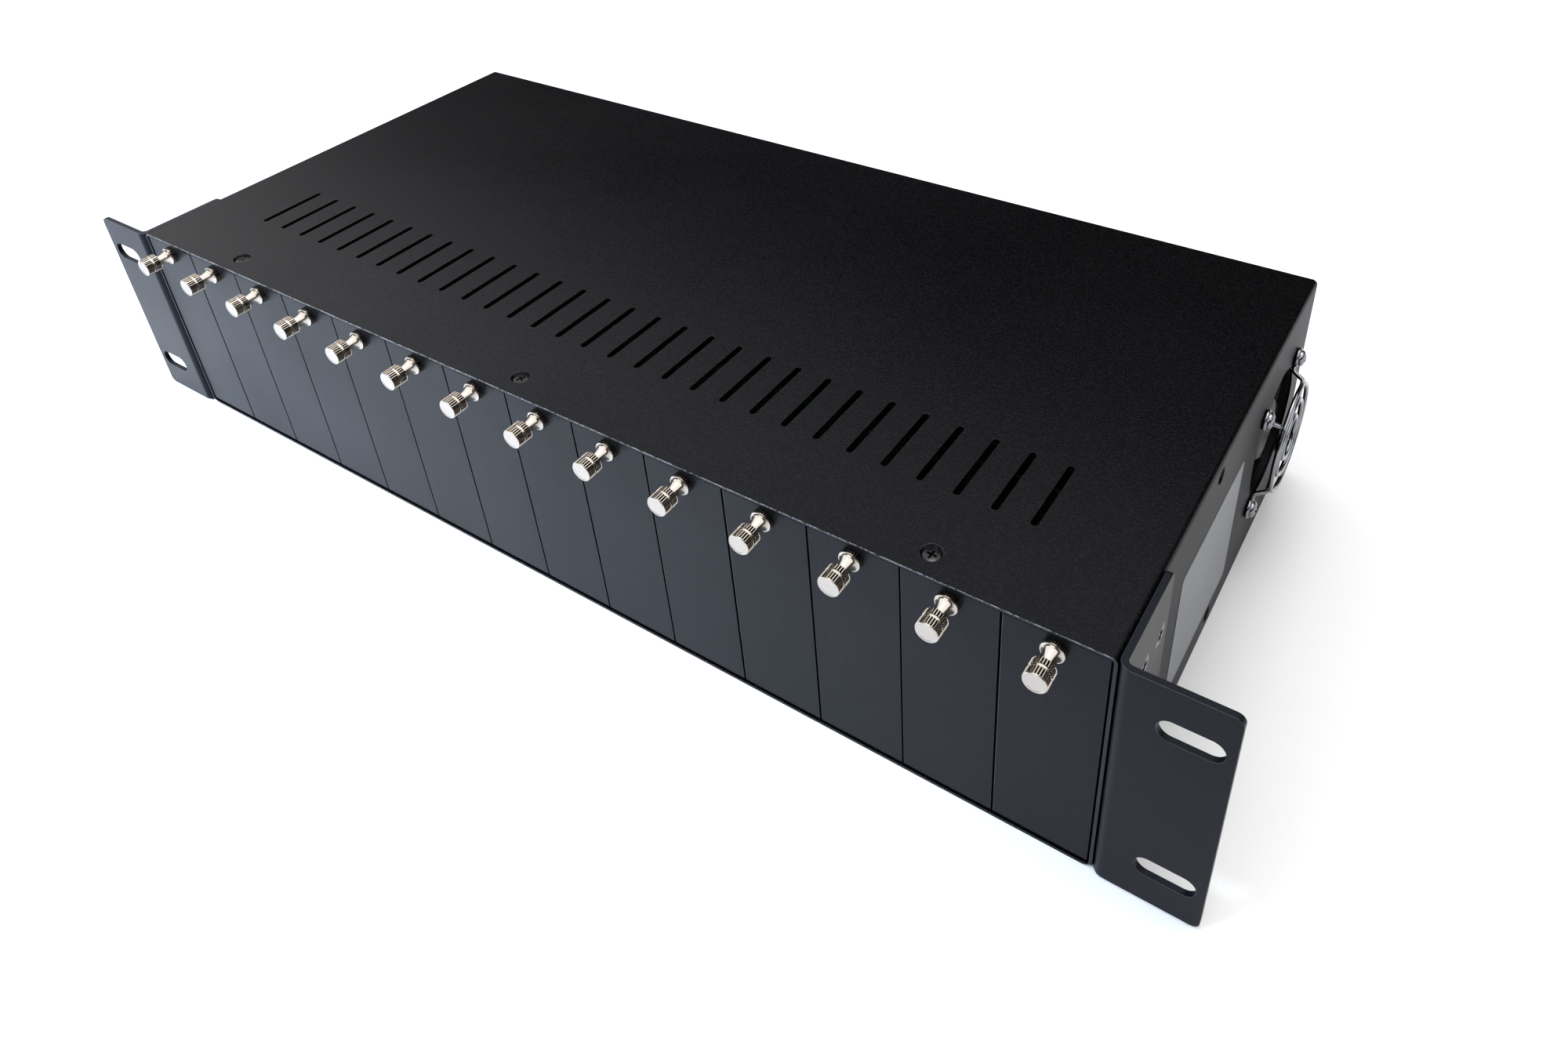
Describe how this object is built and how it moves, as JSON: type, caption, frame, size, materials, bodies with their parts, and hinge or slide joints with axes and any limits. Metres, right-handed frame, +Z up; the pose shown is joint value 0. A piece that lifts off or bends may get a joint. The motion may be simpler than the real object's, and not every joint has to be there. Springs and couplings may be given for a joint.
{
  "type": "media converter chassis",
  "caption": "Low rack-mount chassis for plug-in media converters, with blank slot covers held by thumbscrews across its front, rack ears, a vented cover and a side fan.",
  "frame": {"origin": "middle of the body's underside", "axes": "+X to the right across the front, +Y to the rear, +Z up"},
  "size_m": [0.4826, 0.214, 0.088],
  "materials": {
    "cover_coat": "fine textured powder coat, satin",
    "plate_coat": "smooth satin coat, blue-black",
    "tray_coat": "fine textured powder coat, satin",
    "inner_steel": "bare zinc-plated sheet",
    "bright_nickel": "bright nickel plate",
    "black_zinc": "black zinc plate",
    "guide_plastic": "moulded, matt black",
    "board_laminate": "green solder mask",
    "socket_plastic": "moulded, matt black",
    "fan_plastic": "moulded, matt black",
    "guard_chrome": "bright plated wire",
    "supply_sheet": "plain sheet",
    "inlet_plastic": "moulded, black",
    "brass_stud": "plain brass"
  },
  "bodies": {
    "chassis": {"top_cover": "cover_coat", "base_tray": "tray_coat", "front_rail": "inner_steel", "press_nuts": "inner_steel", "top_screws": "black_zinc", "side_screws": "black_zinc", "rack_ear_left": "plate_coat", "rack_ear_right": "plate_coat", "ear_screws": "black_zinc", "card_guides": "guide_plastic", "bulkhead": "inner_steel", "backplane_board": "board_laminate", "backplane_standoffs": "inner_steel", "backplane_screws": "inner_steel", "backplane_sockets": "socket_plastic", "fan_frame": "fan_plastic", "fan_guard": "guard_chrome", "fan_screws": "bright_nickel", "power_supply_case": "supply_sheet", "power_supply_board": "board_laminate", "power_supply_terminals": "socket_plastic", "power_inlet": "inlet_plastic", "inlet_screws": "bright_nickel", "power_switch_frame": "inlet_plastic", "earth_stud": "brass_stud"},
    "fan_rotor": {"fan_rotor": "fan_plastic"},
    "power_switch_rocker": {"power_switch_rocker": "inlet_plastic"},
    "slot_cover_01": {"slot_cover_01": "plate_coat"},
    "thumbscrew_01": {"thumbscrew_01": "bright_nickel"},
    "slot_cover_02": {"slot_cover_02": "plate_coat"},
    "thumbscrew_02": {"thumbscrew_02": "bright_nickel"},
    "slot_cover_03": {"slot_cover_03": "plate_coat"},
    "thumbscrew_03": {"thumbscrew_03": "bright_nickel"},
    "slot_cover_04": {"slot_cover_04": "plate_coat"},
    "thumbscrew_04": {"thumbscrew_04": "bright_nickel"},
    "slot_cover_05": {"slot_cover_05": "plate_coat"},
    "thumbscrew_05": {"thumbscrew_05": "bright_nickel"},
    "slot_cover_06": {"slot_cover_06": "plate_coat"},
    "thumbscrew_06": {"thumbscrew_06": "bright_nickel"},
    "slot_cover_07": {"slot_cover_07": "plate_coat"},
    "thumbscrew_07": {"thumbscrew_07": "bright_nickel"},
    "slot_cover_08": {"slot_cover_08": "plate_coat"},
    "thumbscrew_08": {"thumbscrew_08": "bright_nickel"},
    "slot_cover_09": {"slot_cover_09": "plate_coat"},
    "thumbscrew_09": {"thumbscrew_09": "bright_nickel"},
    "slot_cover_10": {"slot_cover_10": "plate_coat"},
    "thumbscrew_10": {"thumbscrew_10": "bright_nickel"},
    "slot_cover_11": {"slot_cover_11": "plate_coat"},
    "thumbscrew_11": {"thumbscrew_11": "bright_nickel"},
    "slot_cover_12": {"slot_cover_12": "plate_coat"},
    "thumbscrew_12": {"thumbscrew_12": "bright_nickel"},
    "slot_cover_13": {"slot_cover_13": "plate_coat"},
    "thumbscrew_13": {"thumbscrew_13": "bright_nickel"},
    "slot_cover_14": {"slot_cover_14": "plate_coat"},
    "thumbscrew_14": {"thumbscrew_14": "bright_nickel"}
  },
  "joints": [
    {"name": "fan_spin", "type": "hinge", "parent": "chassis", "child": "fan_rotor", "pos_m": [0.2095, 0.061, 0.044], "axis": [1, 0, 0], "continuous": true},
    {"name": "switch_rock", "type": "hinge", "parent": "chassis", "child": "power_switch_rocker", "pos_m": [-0.1125, 0.0937, 0.054], "axis": [1, 0, 0], "range_deg": [0, 16]},
    {"name": "cover_pull_01", "type": "slide", "parent": "chassis", "child": "slot_cover_01", "axis": [0, -1, 0], "range_m": [0, 0.045]},
    {"name": "screw_turn_01", "type": "hinge", "parent": "slot_cover_01", "child": "thumbscrew_01", "pos_m": [-0.1943, -0.0957, 0.0822], "axis": [0, 1, 0], "continuous": true},
    {"name": "cover_pull_02", "type": "slide", "parent": "chassis", "child": "slot_cover_02", "axis": [0, -1, 0], "range_m": [0, 0.045]},
    {"name": "screw_turn_02", "type": "hinge", "parent": "slot_cover_02", "child": "thumbscrew_02", "pos_m": [-0.16441, -0.0957, 0.0822], "axis": [0, 1, 0], "continuous": true},
    {"name": "cover_pull_03", "type": "slide", "parent": "chassis", "child": "slot_cover_03", "axis": [0, -1, 0], "range_m": [0, 0.045]},
    {"name": "screw_turn_03", "type": "hinge", "parent": "slot_cover_03", "child": "thumbscrew_03", "pos_m": [-0.13452, -0.0957, 0.0822], "axis": [0, 1, 0], "continuous": true},
    {"name": "cover_pull_04", "type": "slide", "parent": "chassis", "child": "slot_cover_04", "axis": [0, -1, 0], "range_m": [0, 0.045]},
    {"name": "screw_turn_04", "type": "hinge", "parent": "slot_cover_04", "child": "thumbscrew_04", "pos_m": [-0.10462, -0.0957, 0.0822], "axis": [0, 1, 0], "continuous": true},
    {"name": "cover_pull_05", "type": "slide", "parent": "chassis", "child": "slot_cover_05", "axis": [0, -1, 0], "range_m": [0, 0.045]},
    {"name": "screw_turn_05", "type": "hinge", "parent": "slot_cover_05", "child": "thumbscrew_05", "pos_m": [-0.07473, -0.0957, 0.0822], "axis": [0, 1, 0], "continuous": true},
    {"name": "cover_pull_06", "type": "slide", "parent": "chassis", "child": "slot_cover_06", "axis": [0, -1, 0], "range_m": [0, 0.045]},
    {"name": "screw_turn_06", "type": "hinge", "parent": "slot_cover_06", "child": "thumbscrew_06", "pos_m": [-0.04484, -0.0957, 0.0822], "axis": [0, 1, 0], "continuous": true},
    {"name": "cover_pull_07", "type": "slide", "parent": "chassis", "child": "slot_cover_07", "axis": [0, -1, 0], "range_m": [0, 0.045]},
    {"name": "screw_turn_07", "type": "hinge", "parent": "slot_cover_07", "child": "thumbscrew_07", "pos_m": [-0.01495, -0.0957, 0.0822], "axis": [0, 1, 0], "continuous": true},
    {"name": "cover_pull_08", "type": "slide", "parent": "chassis", "child": "slot_cover_08", "axis": [0, -1, 0], "range_m": [0, 0.045]},
    {"name": "screw_turn_08", "type": "hinge", "parent": "slot_cover_08", "child": "thumbscrew_08", "pos_m": [0.01495, -0.0957, 0.0822], "axis": [0, 1, 0], "continuous": true},
    {"name": "cover_pull_09", "type": "slide", "parent": "chassis", "child": "slot_cover_09", "axis": [0, -1, 0], "range_m": [0, 0.045]},
    {"name": "screw_turn_09", "type": "hinge", "parent": "slot_cover_09", "child": "thumbscrew_09", "pos_m": [0.04484, -0.0957, 0.0822], "axis": [0, 1, 0], "continuous": true},
    {"name": "cover_pull_10", "type": "slide", "parent": "chassis", "child": "slot_cover_10", "axis": [0, -1, 0], "range_m": [0, 0.045]},
    {"name": "screw_turn_10", "type": "hinge", "parent": "slot_cover_10", "child": "thumbscrew_10", "pos_m": [0.07473, -0.0957, 0.0822], "axis": [0, 1, 0], "continuous": true},
    {"name": "cover_pull_11", "type": "slide", "parent": "chassis", "child": "slot_cover_11", "axis": [0, -1, 0], "range_m": [0, 0.045]},
    {"name": "screw_turn_11", "type": "hinge", "parent": "slot_cover_11", "child": "thumbscrew_11", "pos_m": [0.10462, -0.0957, 0.0822], "axis": [0, 1, 0], "continuous": true},
    {"name": "cover_pull_12", "type": "slide", "parent": "chassis", "child": "slot_cover_12", "axis": [0, -1, 0], "range_m": [0, 0.045]},
    {"name": "screw_turn_12", "type": "hinge", "parent": "slot_cover_12", "child": "thumbscrew_12", "pos_m": [0.13452, -0.0957, 0.0822], "axis": [0, 1, 0], "continuous": true},
    {"name": "cover_pull_13", "type": "slide", "parent": "chassis", "child": "slot_cover_13", "axis": [0, -1, 0], "range_m": [0, 0.045]},
    {"name": "screw_turn_13", "type": "hinge", "parent": "slot_cover_13", "child": "thumbscrew_13", "pos_m": [0.16441, -0.0957, 0.0822], "axis": [0, 1, 0], "continuous": true},
    {"name": "cover_pull_14", "type": "slide", "parent": "chassis", "child": "slot_cover_14", "axis": [0, -1, 0], "range_m": [0, 0.045]},
    {"name": "screw_turn_14", "type": "hinge", "parent": "slot_cover_14", "child": "thumbscrew_14", "pos_m": [0.1943, -0.0957, 0.0822], "axis": [0, 1, 0], "continuous": true}
  ]
}
